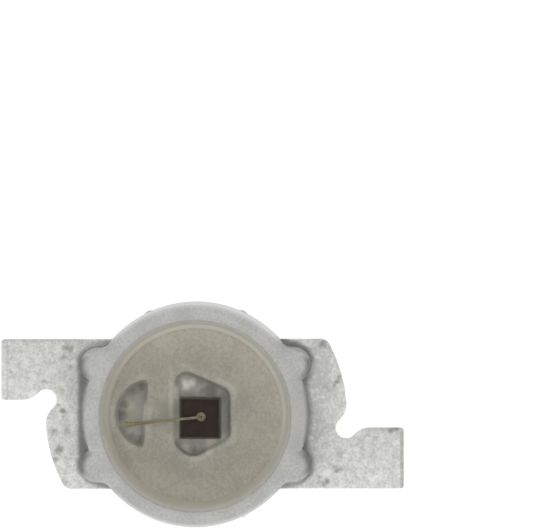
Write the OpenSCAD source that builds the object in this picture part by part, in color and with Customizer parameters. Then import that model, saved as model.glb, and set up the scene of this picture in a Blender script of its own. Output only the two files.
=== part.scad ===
// Round, flat light-emitting diode for surface mounting. Millimetres.
// The leads lie along X and the light leaves along +Z. The origin is where the
// moulding's axis meets its back face, which is what the part rests on.

/* [Moulding] */
// Diameter of the moulding at the leads, its widest line
body_diameter = 2.10; // [2.0:0.05:2.6]
// Height of the moulding from its back face to its rim
body_height = 0.80; // [0.75:0.05:1.2]
// How far the outer wall leans in from the leads up to the rim
wall_lean = 0.03; // [0.01:0.01:0.06]
// Thickness of the plastic behind the leads
back_thickness = 0.10; // [0.06:0.01:0.16]
// How far the edges of the back and its windows lean away from the leads
back_lean = 0.04; // [0.02:0.01:0.06]
// Width of the rim's flat top around the cup
rim_width = 0.13; // [0.08:0.01:0.18]
// How far the cup's wall leans in from its mouth to its floor
cup_lean = 0.075; // [0.03:0.005:0.1]
// Thickness of the plastic over the leads on the cup's floor
floor_skin = 0.06; // [0.04:0.01:0.08]

/* [Corner ears] */
// Radius of each ear where it stands on a lead
ear_radius = 0.17; // [0.12:0.01:0.2]
// Bare strip of lead between an ear and the lead's edge
ear_margin = 0.065; // [0.03:0.005:0.1]
// How far an ear's axis lies inside the moulding's edge
ear_inset = 0.028; // [0.004:0.004:0.06]

/* [Flash ridges] */
// How far each of the four flash ridges stands off the moulding's edge
ridge_height = 0.016; // [0.008:0.002:0.03]
// Width of a flash ridge at its foot
ridge_width = 0.08; // [0.05:0.01:0.12]
// Angle of each flash ridge from the line of the leads
ridge_angle = 65; // [55:1:75]

/* [Leads] */
// Width of the leads
lead_width = 1.40; // [1.3:0.05:1.6]
// Thickness of the lead strip before tinning
lead_thickness = 0.15; // [0.10:0.01:0.2]
// Thickness of the tin on the bare faces of the leads
tin_thickness = 0.008; // [0.004:0.001:0.012]
// How far the round shoulder of a lead stands out past the moulding
shoulder_stand = 0.35; // [0.3:0.01:0.5]
// Width of a lead's foot
foot_width = 0.565; // [0.45:0.005:0.65]
// Length of the wire lead's foot past the shoulder
anode_foot = 0.42; // [0.36:0.01:0.8]
// Length of the chip lead's foot past the shoulder
cathode_foot = 0.54; // [0.36:0.01:0.8]
// Radius of the notch between foot and shoulder
notch_radius = 0.10; // [0.07:0.005:0.13]
// Radius of the bends on both sides of the notch
blend_radius = 0.20; // [0.1:0.01:0.22]
// Radius of the shoulder's outer corner
corner_radius = 0.10; // [0.05:0.01:0.18]
// Radius of the corners at the end of a foot
tip_radius = 0.03; // [0.01:0.005:0.06]
// Gap between the two leads inside the moulding
lead_gap = 0.23; // [0.15:0.01:0.28]

/* [Back windows] */
// Height of both windows in the moulding's back, across the leads
back_window_height = 0.465; // [0.38:0.005:0.55]
// How far both windows lie off the moulding's axis
back_window_offset = 0.035; // [0:0.005:0.06]
// Radius of the corners of the back windows
back_window_corner = 0.09; // [0.05:0.01:0.14]
// Plastic between the inner end of the wire lead and its back window
anode_window_setback = 0.06; // [0.045:0.005:0.12]
// Plastic between the inner end of the chip lead and its back window
cathode_window_setback = 0.10; // [0.045:0.005:0.14]
// Radius of the round head of the chip lead's back window
window_head_radius = 0.33; // [0.28:0.01:0.36]
// Distance of the round head from the moulding's axis
window_head_x = 0.56; // [0.5:0.01:0.6]

/* [Gate] */
// Radius of the gate hole in the chip lead
gate_radius = 0.175; // [0.12:0.005:0.2]
// Distance of the gate hole from the moulding's axis
gate_x = 0.54; // [0.5:0.01:0.6]
// How far the broken gate stands proud of the lead
gate_stub = 0.02; // [0.012:0.004:0.04]
// Thickness of the skin of flash beside the gate
flash_thickness = 0.05; // [0.02:0.005:0.055]
// Distance of the skin's edge from the gate's middle
flash_start = 0.16; // [0.1:0.01:0.2]
// Direction in which the skin lies from the gate
flash_angle = -25; // [-60:1:60]

/* [Chip] */
// Side of the square chip
chip_size = 0.38; // [0.3:0.01:0.42]
// Height of the chip
chip_height = 0.17; // [0.12:0.01:0.2]
// Place of the chip's middle along the leads
chip_x = 0.04; // [0:0.01:0.08]
// Place of the chip's middle across the leads
chip_y = -0.03; // [-0.06:0.01:0.03]
// Thickness of the adhesive under the chip
adhesive_thickness = 0.012; // [0.008:0.002:0.02]
// How high the adhesive climbs up the chip's sides
adhesive_climb = 0.02; // [0.01:0.005:0.04]
// How far the adhesive shows around the chip
adhesive_margin = 0.012; // [0.006:0.002:0.016]

/* [Cup floor windows] */
// How far the walls of both windows lean out from the leads up to the floor
window_lean = 0.03; // [0.01:0.005:0.04]
// Plastic between the inner end of each lead and its window
window_setback = 0.04; // [0.03:0.002:0.05]
// Clear floor between the adhesive and the chip window on the wire's side
window_near = 0.008; // [0.004:0.002:0.03]
// Clear floor between the chip and its window on the far side
window_far = 0.075; // [0.05:0.005:0.1]
// Clear floor between the chip and its window's upper end
window_above = 0.215; // [0.16:0.005:0.24]
// Clear floor between the chip and its window's lower end
window_below = 0.15; // [0.11:0.005:0.17]
// Clear floor between the adhesive and the bevel at the chip window's lower far corner
bevel_clearance = 0.006; // [0.004:0.002:0.02]
// Radius of the chip window's corners
window_corner = 0.085; // [0.05:0.005:0.09]
// Radius of the half-moon window at the end of the wire lead
moon_radius = 0.28; // [0.24:0.01:0.3]
// Place of the half-moon's middle across the leads
moon_y = 0.01; // [-0.03:0.01:0.03]

/* [Bond wire] */
// Diameter of the gold wire
wire_diameter = 0.026; // [0.018:0.002:0.03]
// Diameter of the ball on the chip
ball_diameter = 0.10; // [0.08:0.005:0.12]
// Height of the flattened ball
ball_height = 0.05; // [0.04:0.005:0.06]
// Height of the wire's loop above the chip
loop_height = 0.15; // [0.13:0.01:0.2]
// Radius of the wire's bends
loop_radius = 0.06; // [0.04:0.005:0.065]
// Distance of the stitch from the inner end of its lead
stitch_setback = 0.19; // [0.16:0.01:0.2]
// Place of the stitch across the leads
stitch_y = -0.085; // [-0.12:0.005:0.05]
// Length of the flattened stitch
stitch_length = 0.08; // [0.06:0.005:0.1]
// Width of the flattened stitch
stitch_width = 0.06; // [0.04:0.005:0.07]
// Thickness of the flattened stitch
stitch_thickness = 0.012; // [0.008:0.002:0.016]

/* [Resin] */
// How far the resin stays below the rim at the cup's wall
resin_drop = 0.008; // [0.002:0.002:0.02]
// How far the resin's surface dips in its middle
resin_dip = 0.025; // [0.01:0.005:0.04]

/* [Hidden] */

// Sides of a round face
$fn = 96;
// Sides of the wide, shallow dish in the resin's surface
dish_sides = 720;
// Sides of the cones that round a window's corners
corner_sides = 32;
// Steps along each bend of a lead's outline and of the wire
bend_steps = 12;
// Steps up the ball, and along the stitch
form_steps = 6;
// Sides of the wire, and how far a flat side lies from its middle at a radius of 1
wire_sides = 10;
side_distance = cos(180 / wire_sides);

// Heights of the faces that the pieces share
lead_bottom = back_thickness;
lead_top = lead_bottom + lead_thickness;
floor_top = lead_top + floor_skin;
chip_bottom = lead_top + adhesive_thickness;
chip_top = chip_bottom + chip_height;
resin_edge = body_height - resin_drop;

// Radii about the moulding's axis
body_radius = body_diameter / 2;
rim_radius = body_radius - wall_lean;
back_radius = body_radius - back_lean;
mouth_radius = rim_radius - rim_width;
floor_radius = mouth_radius - cup_lean;
cup_slope = cup_lean / (body_height - floor_top);
shoulder_radius = body_radius + shoulder_stand;
dish_radius = (pow(mouth_radius, 2) + pow(resin_dip, 2)) / (2 * resin_dip);

// Axis of an ear, level with its lead's edge and close to the moulding's
ear_y = lead_width / 2 - ear_margin - ear_radius;
ear_x = sqrt(pow(body_radius - ear_inset, 2) - pow(ear_y, 2));

// Sides of the chip window at the lead
chip_half = chip_size / 2;
window_left = chip_x - chip_half - adhesive_margin - window_near;
window_right = chip_x + chip_half + window_far;
window_top = chip_y + chip_half + window_above;
window_bottom = chip_y - chip_half - window_below;

// Bevel of the chip window, which passes the chip's corner at the adhesive's margin and clearance
chip_corner = [chip_x + chip_half, chip_y - chip_half];
bevel_start = [chip_x, window_bottom + window_corner];
bevel_room = window_corner - adhesive_margin - bevel_clearance;
bevel_slope = bearing(chip_corner - bevel_start) + asin(bevel_room / norm(chip_corner - bevel_start));
bevel_end = bevel_start + (window_right - window_corner - chip_x) * [1, tan(bevel_slope)];

// Inner ends of the two leads
cathode_end = window_left - window_setback;
anode_end = cathode_end - lead_gap;

// Middles of the bends in a lead's outline, with its foot at the lower right
foot_edge = foot_width - lead_width / 2;
notch_at = [sqrt(pow(shoulder_radius, 2) - pow(foot_edge, 2)), foot_edge];
bend_reach = blend_radius + notch_radius;
foot_bend = notch_at + [sqrt(pow(bend_reach, 2) - pow(blend_radius, 2)), -blend_radius];
nose_distance = shoulder_radius - blend_radius;
nose_turn = acos((pow(nose_distance, 2) + pow(shoulder_radius, 2) - pow(bend_reach, 2))
    / (2 * nose_distance * shoulder_radius));
nose_angle = bearing(notch_at) + nose_turn;
nose_bend = nose_distance * [cos(nose_angle), sin(nose_angle)];
corner_y = lead_width / 2 - corner_radius;
corner_bend = [sqrt(pow(shoulder_radius - corner_radius, 2) - pow(corner_y, 2)), corner_y];

// Bends of the bond wire in its own upright plane, as [distance from the ball, height]
wire_radius = wire_diameter / 2;
ball_radius = ball_diameter / 2;
wire_start = [chip_x, chip_y];
stitch_at = [anode_end - stitch_setback, stitch_y];
wire_run = norm(stitch_at - wire_start);
loop_at = [loop_radius, chip_top + loop_height - loop_radius];
landing_at = [wire_run - stitch_length / 2, lead_top + wire_radius * side_distance + loop_radius];
wire_slope = asin(2 * loop_radius / norm(landing_at - loop_at)) - bearing(landing_at - loop_at);

// Rings of the bond wire, as [distance from the ball, height, direction, half width, half height]:
// the ball, squashed at both ends, the loop, the landing, and the stitch, which grows flat and wide
squash_angle = asin(ball_height / ball_diameter);
wire_rings = concat(
    [for (i = [-form_steps : form_steps])
        let (a = squash_angle * i / form_steps, r = ball_radius * cos(a))
        [0, chip_top + ball_height / 2 + ball_radius * sin(a), 90, r, r]],
    [[0, chip_top + ball_height, 90, wire_radius, wire_radius]],
    wire_bend(loop_at, 180, 90 - wire_slope),
    wire_bend(landing_at, -90 - wire_slope, -90),
    [for (i = [1 : form_steps])
        let (s = i / form_steps, wide = wire_radius + (stitch_width / 2 - wire_radius) * s,
            high = wire_radius + (stitch_thickness / 2 - wire_radius) * s)
        [landing_at.x + stitch_length * s, lead_top + high * side_distance, 0, wide, high]]
);

function wire_bend(middle, from, to) = [for (i = [0 : bend_steps])
    let (a = from + (to - from) * i / bend_steps)
    [middle.x + loop_radius * cos(a), middle.y + loop_radius * sin(a), a + 90 * sign(to - from),
        wire_radius, wire_radius]];

function bearing(v) = atan2(v.y, v.x);

function bend(middle, radius, from, to) = [for (i = [0 : bend_steps])
    let (a = from + (to - from) * i / bend_steps) middle + radius * [cos(a), sin(a)]];

// Outline of a lead, all round: inner end, foot, notch, shoulder and corner
function lead_path(foot, end) =
    let (tip = shoulder_radius + foot - tip_radius)
    concat(
        [[end, -lead_width / 2]],
        bend([tip, tip_radius - lead_width / 2], tip_radius, -90, 0),
        bend([tip, foot_edge - tip_radius], tip_radius, 0, 90),
        bend(foot_bend, blend_radius, 90, bearing(notch_at - foot_bend)),
        bend(notch_at, notch_radius, bearing(foot_bend - notch_at), bearing(nose_bend - notch_at) - 360),
        bend(nose_bend, blend_radius, bearing(notch_at - nose_bend), nose_angle),
        bend([0, 0], shoulder_radius, nose_angle, bearing(corner_bend)),
        bend(corner_bend, corner_radius, bearing(corner_bend), 90),
        [[end, lead_width / 2]]
    );

// An outline raised from one height to another
module slab(low, high) {
    translate([0, 0, low]) linear_extrude(height = high - low) children();
}

// A round wall about an upright axis, from one height and radius to another
module cone(at, low, low_radius, high, high_radius) {
    translate([at.x, at.y, low]) cylinder(h = high - low, r1 = low_radius, r2 = high_radius);
}

// A shape and its mirror images in the other three corners
module four_corners() {
    for (x = [0, 1], y = [0, 1])
        mirror([x, 0, 0]) mirror([0, y, 0]) children();
}

// Round cutter for a back window, which widens away from the lead
module back_cut(at, radius) {
    cone(at, -back_thickness, radius + 2 * back_lean, lead_bottom, radius);
}

// Straight cutter for a back window, with rounded corners, between two places along the leads
module back_slot(near, far) {
    spread = back_window_height / 2 - back_window_corner;
    hull() {
        for (x = [near, far], side = [-1, 1])
            back_cut([x, back_window_offset + side * spread], back_window_corner, $fn = corner_sides);
    }
}

// Round head of the chip lead's back window
module window_head() {
    back_cut([window_head_x, back_window_offset], window_head_radius);
}

// Skin of flash that leaked over the chip lead beside the gate
module gate_flash() {
    intersection() {
        window_head();
        slab(lead_bottom - flash_thickness, lead_bottom)
            translate([gate_x, 0]) rotate(flash_angle)
                translate([flash_start, -body_radius]) square(body_diameter);
    }
}

// All that the mould fills, with the leads' room and the cup still solid
module moulding() {
    difference() {
        union() {
            cone([0, 0], 0, back_radius, lead_bottom, body_radius);
            cone([0, 0], lead_bottom, body_radius, lead_top, body_radius);
            cone([0, 0], lead_top, body_radius, body_height, rim_radius);
            four_corners() {
                cone([ear_x, ear_y], lead_top, ear_radius, body_height, ear_radius - wall_lean);
                rotate(ridge_angle) slab(lead_bottom, lead_top)
                    polygon([[body_radius + ridge_height, 0], [rim_radius, ridge_width / 2],
                        [rim_radius, -ridge_width / 2]]);
            }
        }
        back_slot(-shoulder_radius, anode_end - anode_window_setback - back_window_corner);
        back_slot(cathode_end + cathode_window_setback + back_window_corner, window_head_x);
        window_head();
    }
    cone([gate_x, 0], lead_bottom - gate_stub, gate_radius, lead_top, gate_radius);
    gate_flash();
}

// The cup, which widens from its floor up to a height
module cup(height) {
    cone([0, 0], floor_top, floor_radius, height, floor_radius + cup_slope * (height - floor_top));
}

// Round cutter for a floor window, from the lead up past the floor
module floor_cut(at, radius) {
    cone(at, lead_top, radius, floor_top + floor_skin, radius + 2 * window_lean);
}

// Half-moon window over the end of the wire lead
module moon_window() {
    edge = anode_end - window_setback;
    intersection() {
        floor_cut([anode_end, moon_y], moon_radius);
        rotate([90, 0, 0]) linear_extrude(height = body_diameter, center = true)
            polygon([[-body_radius, lead_top], [edge, lead_top],
                [edge + 2 * window_lean, floor_top + floor_skin], [-body_radius, floor_top + floor_skin]]);
    }
}

// Window over the chip lead, with a slope at the top and a bevel at the lower far corner
module chip_window() {
    corners = [
        [window_left + window_corner, window_top - window_corner],
        [window_right - window_corner, chip_y + chip_half],
        bevel_end,
        bevel_start,
        [window_left + window_corner, window_bottom + window_corner]
    ];
    hull() {
        for (corner = corners) floor_cut(corner, window_corner, $fn = corner_sides);
    }
}

// Body of a lead as it was stamped, with its foot at the lower right, and a skin on both faces
module lead_strip(foot, end, skin = 0) {
    slab(lead_bottom - skin, lead_top + skin) polygon(lead_path(foot, end));
}

// A lead with tin on every face that the moulding leaves bare
module tinned_lead(foot, end, turn) {
    difference() {
        rotate(turn) lead_strip(foot, end, tin_thickness);
        moulding();
    }
}

// Both leads' room in the moulding
module anode_strip() {
    rotate(180) lead_strip(anode_foot, -anode_end);
}

module cathode_strip() {
    difference() {
        lead_strip(cathode_foot, cathode_end);
        cone([gate_x, 0], lead_bottom, gate_radius, lead_top, gate_radius);
    }
}

// Chip and adhesive, each as a plain block, the adhesive's with round corners
module chip_block() {
    slab(chip_bottom, chip_top) translate(wire_start) square(chip_size, center = true);
}

module adhesive_block() {
    slab(lead_top, chip_bottom + adhesive_climb) translate(wire_start) {
        for (turn = [0, 90])
            rotate(turn) square([chip_size + 2 * adhesive_margin, chip_size], center = true);
        for (x = [-1, 1], y = [-1, 1]) translate(chip_half * [x, y]) circle(adhesive_margin);
    }
}

// The wire, ring by ring from the ball on the chip to the stitch on the lead, closed at both ends
module wire_shape() {
    rings = len(wire_rings);
    points = [for (ring = wire_rings, k = [0 : wire_sides - 1])
        let (a = 360 * (k + 1 / 2) / wire_sides, out = ring[4] * cos(a))
        [ring[0] - out * sin(ring[2]), ring[3] * sin(a), ring[1] + out * cos(ring[2])]];
    walls = [for (i = [0 : rings - 2], k = [0 : wire_sides - 1])
        let (next = (k + 1) % wire_sides, low = i * wire_sides, high = low + wire_sides)
        [low + k, high + k, high + next, low + next]];
    first = [for (k = [0 : wire_sides - 1]) k];
    last = [for (k = [wire_sides - 1 : -1 : 0]) (rings - 1) * wire_sides + k];
    translate(wire_start) rotate(bearing(stitch_at - wire_start))
        polyhedron(points, concat(walls, [first, last]));
}

module housing() {
    color("gainsboro") difference() {
        moulding();
        cup(body_height + floor_skin);
        moon_window();
        chip_window();
        anode_strip();
        cathode_strip();
    }
}

module anode_lead() {
    color("silver") {
        anode_strip();
        tinned_lead(anode_foot, -anode_end, 180);
    }
}

module cathode_lead() {
    color("silver") {
        cathode_strip();
        tinned_lead(cathode_foot, cathode_end, 0);
    }
}

module chip_adhesive() {
    color("gray") difference() {
        adhesive_block();
        chip_block();
    }
}

module chip() {
    color([0.17, 0.12, 0.11]) chip_block();
}

module bond_wire() {
    color("goldenrod") wire_shape();
}

module resin_fill() {
    color([0.75, 0.72, 0.62, 0.4]) difference() {
        union() {
            cup(resin_edge);
            moon_window();
            chip_window();
        }
        translate([0, 0, resin_edge - resin_dip]) rotate_extrude() intersection() {
            translate([0, dish_radius]) circle(r = dish_radius, $fn = dish_sides);
            square(body_radius);
        }
        adhesive_block();
        chip_block();
        wire_shape();
    }
}

housing();
anode_lead();
cathode_lead();
chip_adhesive();
chip();
bond_wire();
resin_fill();
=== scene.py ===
import math

import bmesh
import bpy
import numpy as np
from mathutils import Matrix, Vector


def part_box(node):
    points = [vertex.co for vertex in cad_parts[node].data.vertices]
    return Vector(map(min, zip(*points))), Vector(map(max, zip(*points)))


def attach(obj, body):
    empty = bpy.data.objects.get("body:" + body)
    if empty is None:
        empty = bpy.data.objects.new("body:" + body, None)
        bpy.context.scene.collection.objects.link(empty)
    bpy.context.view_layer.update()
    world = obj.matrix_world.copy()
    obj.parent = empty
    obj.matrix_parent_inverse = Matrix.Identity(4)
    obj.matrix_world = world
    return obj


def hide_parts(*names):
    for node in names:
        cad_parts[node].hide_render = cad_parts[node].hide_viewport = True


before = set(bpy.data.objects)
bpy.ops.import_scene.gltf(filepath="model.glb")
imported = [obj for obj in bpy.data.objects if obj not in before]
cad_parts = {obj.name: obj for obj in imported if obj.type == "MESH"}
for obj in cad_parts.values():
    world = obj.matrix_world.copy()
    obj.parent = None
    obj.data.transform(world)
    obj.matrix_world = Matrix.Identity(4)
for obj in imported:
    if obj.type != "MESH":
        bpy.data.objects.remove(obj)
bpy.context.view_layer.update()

# Leads
# Two leads punched from one copper-alloy strip and tinned: the wire lead on the left and the longer chip
# lead on the right. The punch rolls over the edges of the back, the plastic is moulded round their middles,
# and each foot is cut off the strip last. Pieces are shaped in millimetres and finished in metres.
mm = 0.001


def box_mm(node):
    """A node's lowest and highest corners, in millimetres."""
    return [np.array(corner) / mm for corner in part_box(node)]


left_tip = box_mm("anode_lead")[0][0]
chip_lead_low, chip_lead_high = box_mm("cathode_lead")
right_tip = chip_lead_high[0]
lead_bottom = chip_lead_low[2]
lead_top = chip_lead_high[2]
strip_middle = 0.175
body_high = box_mm("housing")[1]
body_radius = body_high[1]
lead_half = 0.70
shoulder = 1.410
foot_edge = -0.132
notch_radius = 0.10
foot_round = 0.20
corner_round = 0.10
tip_round = 0.03
least_round = 0.004
roll_width = 0.045
roll_height = 0.04
burr = 0.008
tin_skin = 0.008
plated_from = 0.97
gate_at = (0.54, 0.0)
gate_radius = 0.175
chip_lead_end = -0.21
wire_lead_end = -0.44
overcut = 0.1
disc_step = 3.0
weld_gap = 1e-6


def bearing(x, y):
    """The direction of a vector, in degrees."""
    return math.degrees(math.atan2(y, x))


def polar(reach, turns):
    """Points at a distance, in directions given in degrees."""
    return np.stack([reach * np.cos(np.radians(turns)), reach * np.sin(np.radians(turns))], axis=-1)


def facing_angle(near, far, across):
    """The angle between two sides of a triangle, from the lengths of its three sides, in degrees."""
    return math.degrees(math.acos((near**2 + far**2 - across**2) / (2 * near * far)))


def lead_arcs(tip, end, tip_corner):
    """The rounds of a lead whose foot points right and lies low."""
    notch = np.array([math.sqrt(shoulder**2 - foot_edge**2), foot_edge])
    reach = notch_radius + foot_round
    foot = notch + [math.sqrt(reach**2 - foot_round**2), -foot_round]
    arm = shoulder - foot_round
    nose_bearing = bearing(*notch) + facing_angle(arm, shoulder, reach)
    nose = polar(arm, nose_bearing)
    corner_y = lead_half - corner_round
    corner = np.array([math.sqrt((shoulder - corner_round)**2 - corner_y**2), corner_y])
    return [
        ((end + tip_corner, lead_half - tip_corner), tip_corner, 90, 180),
        ((end + tip_corner, tip_corner - lead_half), tip_corner, 180, 270),
        ((tip - tip_corner, tip_corner - lead_half), tip_corner, -90, 0),
        ((tip - tip_corner, foot_edge - tip_corner), tip_corner, 0, 90),
        (foot, foot_round, 90, bearing(*(notch - foot))),
        (notch, notch_radius, bearing(*(foot - notch)), bearing(*(nose - notch)) - 360),
        (nose, foot_round, bearing(*(notch - nose)), nose_bearing),
        ((0, 0), shoulder, nose_bearing, bearing(*corner)),
        (corner, corner_round, bearing(*corner), 90),
    ]


def rounded(steps, sweep=90):
    """Steps along a rounded edge of radius 1, as pairs of distances from the two faces that it joins."""
    turns = np.radians(np.linspace(0, sweep, steps))
    return list(zip(1 - np.cos(turns), 1 - np.sin(turns)))


def outline(arcs, grow=0.0, step=6.0):
    """Points round a shape made of arcs (centre, radius, from, to), moved outwards by one length."""
    rounds = []
    for centre, radius, start, stop in arcs:
        turns = np.linspace(start, stop, max(2, math.ceil(abs(stop - start) / step)) + 1)
        reach = radius + grow * math.copysign(1, stop - start)
        rounds.append(np.array(centre) + polar(reach, turns))
    return np.concatenate(rounds)


def level(points, height):
    """Flat points lifted to one height."""
    return np.column_stack([points, np.full(len(points), height)])


def lead_loops(tip, end, turned):
    """A lead from its rolled back edge up to the sharp edge of its front."""
    profile = []
    for rise, inset in rounded(8):
        profile.append((lead_bottom + roll_height * rise, roll_width * inset))
    for inset, drop in rounded(4):
        profile.append((lead_top - burr * drop, burr * inset))
    loops = []
    for height, inset in profile:
        arcs = lead_arcs(tip, end, max(tip_round, inset + least_round))
        loops.append(level(turned * outline(arcs, -inset), height))
    return loops


def placed(name, data):
    """A new object in the scene, made of a mesh or other data."""
    piece = bpy.data.objects.new(name, data)
    bpy.context.scene.collection.objects.link(piece)
    return piece


def lofted(name, loops):
    """A closed mesh through loops of points, the first of them capped below and the last above."""
    count = len(loops[0])
    rows = np.arange(len(loops) * count).reshape(len(loops), count)
    low, high = rows[:-1], rows[1:]
    sides = np.stack([low, np.roll(low, -1, 1), np.roll(high, -1, 1), high], axis=-1).reshape(-1, 4)
    mesh = bpy.data.meshes.new(name)
    faces = [rows[0][::-1].tolist(), *sides.tolist(), rows[-1].tolist()]
    mesh.from_pydata(np.concatenate(loops).tolist(), [], faces)
    shape = bmesh.new()
    shape.from_mesh(mesh)
    bmesh.ops.remove_doubles(shape, verts=shape.verts, dist=weld_gap)
    shape.to_mesh(mesh)
    shape.free()
    return placed(name, mesh)


def disc(name, at, radius, low, high):
    """A round cutter or plug."""
    ring = outline([(at, radius, 0, 360 - disc_step)], step=disc_step)
    return lofted(name, [level(ring, low), level(ring, high)])


def bake(piece):
    """Turns what the modifiers make of a piece into its own plain mesh."""
    made = piece.evaluated_get(bpy.context.evaluated_depsgraph_get())
    mesh = bpy.data.meshes.new_from_object(made)
    piece.modifiers.clear()
    piece.data = mesh


def combine(piece, operation, *tools):
    """Joins other solids to a piece or cuts them out of it, one after the other, and uses them up."""
    for tool in tools:
        step = piece.modifiers.new(tool.name, "BOOLEAN")
        step.operation = operation
        step.solver = "EXACT"
        step.object = tool
        bake(piece)
        bpy.data.objects.remove(tool)


wire_lead = lofted("wire_lead", lead_loops(-left_tip, -wire_lead_end, -1))
chip_lead = lofted("chip_lead", lead_loops(right_tip, chip_lead_end, 1))
for lead in (wire_lead, chip_lead):
    untinned = disc("untinned_middle", (0, 0), plated_from, lead_top - tin_skin, lead_top + overcut)
    combine(lead, "DIFFERENCE", untinned)
gate_hole = disc("gate_hole", gate_at, gate_radius, lead_bottom - overcut, lead_top + overcut)
combine(chip_lead, "DIFFERENCE", gate_hole)

# The plastic covers the leads' inner ends, but for two windows in the cup's floor.
chip_low, chip_high = box_mm("chip")
room_left, room_right, room_below, room_above = 0.02, 0.068, 0.14, 0.215
blunt_across, blunt_up = 0.045, 0.035
bevel_start, bevel_end = -0.01, -0.155
slope_end = 0.16
window_corner = 0.085
window_blend = 0.06
moon_at = np.array([wire_lead_end + 0.012, 0.006])
moon_radius = 0.298
moon_inset = 0.070
moon_tilt = -4.0
moon_corner = 0.012


def chip_opening():
    """The window that the chip stands in, with its corners cut off aslant on the right."""
    left = chip_low[0] - room_left + window_corner
    right = chip_high[0] + room_right - window_corner
    bottom = chip_low[1] - room_below + window_corner
    top = chip_high[1] + room_above - window_corner
    corners = [(left, top), (left, bottom + blunt_up), (left + blunt_across, bottom)]
    corners += [(bevel_start, bottom), (right, bevel_end), (right, slope_end)]
    arcs = []
    for before, here, after in zip(corners[-1:] + corners[:-1], corners, corners[1:] + corners[:1]):
        arrive = bearing(here[0] - before[0], here[1] - before[1]) - 90
        leave = bearing(after[0] - here[0], after[1] - here[1]) - 90
        arcs.append((here, window_corner, arrive, arrive + (leave - arrive) % 360))
    return arcs


def moon_opening():
    """The half-moon window that the wire lands in, with its straight edge a little askew."""
    across = -moon_inset - moon_corner
    up = math.sqrt((moon_radius - moon_corner)**2 - across**2)
    turn = bearing(across, up)
    reach = math.hypot(across, up)
    return [
        (moon_at + polar(reach, moon_tilt + turn), moon_corner, moon_tilt, moon_tilt + turn),
        (moon_at, moon_radius, moon_tilt + turn, moon_tilt + 360 - turn),
        (moon_at + polar(reach, moon_tilt - turn), moon_corner, moon_tilt - turn, moon_tilt),
    ]


# Finishes follow the place on a piece in millimetres: plain sums on wired sockets build up the nodes.
class Wired:
    """One output of a node; sums on it add Math nodes to its tree, and | keeps the larger of two values."""

    def __init__(self, socket):
        self.socket = socket

    def node(self, kind, settings, inputs, output=0):
        """Adds a node, sets it, feeds its sockets and gives one of its outputs."""
        tree = self.socket.id_data
        made = tree.nodes.new(kind)
        for name, value in settings.items():
            setattr(made, name, value)
        for name, value in inputs.items():
            if isinstance(value, Wired):
                tree.links.new(value.socket, made.inputs[name])
            else:
                made.inputs[name].default_value = value
        return Wired(made.outputs[output])

    def math(self, operation, *others):
        return self.node("ShaderNodeMath", {"operation": operation}, dict(enumerate((self, *others))))

    def __add__(self, other):
        return self.math("ADD", other)

    __radd__ = __add__

    def __sub__(self, other):
        return self.math("SUBTRACT", other)

    def __rsub__(self, other):
        return self.math("MULTIPLY_ADD", -1.0, other)

    def __mul__(self, other):
        return self.math("MULTIPLY", other)

    __rmul__ = __mul__

    def __truediv__(self, other):
        return self.math("DIVIDE", other)

    def __or__(self, other):
        return self.math("MAXIMUM", other)

    def __abs__(self):
        return self.math("ABSOLUTE")

    def rise(self, low, high):
        """0 up to one value, 1 from another on, and smooth between."""
        values = {"Value": self, "From Min": low, "From Max": high}
        return self.node("ShaderNodeMapRange", {"interpolation_type": "SMOOTHSTEP"}, values)

    def fall(self, low, high):
        """1 up to one value, 0 from another on, and smooth between."""
        return 1.0 - self.rise(low, high)

    def between(self, low, full_from, full_to, high):
        """1 from one value to another, and falling smoothly to 0 on both sides."""
        return self.rise(low, full_from) * self.fall(full_to, high)

    def blend(self, first, second):
        """A colour that goes from one to another with this value."""
        return self.node("ShaderNodeMix", {"data_type": "RGBA"}, {0: self, 6: first, 7: second}, 2)

    def grain(self, per_mm, detail=2.0, seed=0.0):
        """Noise about 0.5 on this place, with so many grains to the millimetre."""
        values = {"Vector": self, "W": seed, "Scale": per_mm, "Detail": detail}
        return self.node("ShaderNodeTexNoise", {"noise_dimensions": "4D"}, values)

    def axis(self, name):
        """One coordinate of this place."""
        return self.node("ShaderNodeSeparateXYZ", {}, {0: self}, name)

    def feed(self, socket):
        """Links this value to a shader's socket."""
        self.socket.id_data.links.new(self.socket, socket)


def new_finish(name):
    """A material, its shader, and the place on the piece in millimetres."""
    material = bpy.data.materials.new(name)
    material.use_nodes = True
    nodes = material.node_tree.nodes
    place = Wired(nodes.new("ShaderNodeTexCoord").outputs["Object"])
    place = place.node("ShaderNodeVectorMath", {"operation": "SCALE"}, {0: place, "Scale": 1 / mm})
    return material, nodes["Principled BSDF"], place


def away_from(x, y, at):
    """The flat distance of a place from a point."""
    across = x - at[0]
    along = y - at[1]
    return (across * across + along * along).math("SQRT")


def spots(x, y, marks, wobble, ragged=1.4):
    """Soft patches (place, reach, strength), with their edges broken up."""
    found = None
    for at, reach, strength in marks:
        patch = (away_from(x, y, at) + (wobble - 0.5) * reach * ragged).fall(0.0, reach) * strength
        found = patch if found is None else found | patch
    return found


def window_depth(x, y):
    """How far a place lies inside one of the two windows, seen from above."""
    chip_window = None
    for centre, radius, start, stop in chip_opening():
        across, up = polar(1.0, stop).tolist()
        inside = float(across * centre[0] + up * centre[1] + radius) - x * across - y * up
        chip_window = inside if chip_window is None else chip_window.math("SMOOTH_MIN", inside, window_blend)
    across, up = polar(1.0, moon_tilt).tolist()
    inside = -moon_inset - (x - moon_at[0]) * across - (y - moon_at[1]) * up
    moon = (moon_radius - away_from(x, y, moon_at)).math("SMOOTH_MIN", inside, window_blend)
    return chip_window | moon


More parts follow.
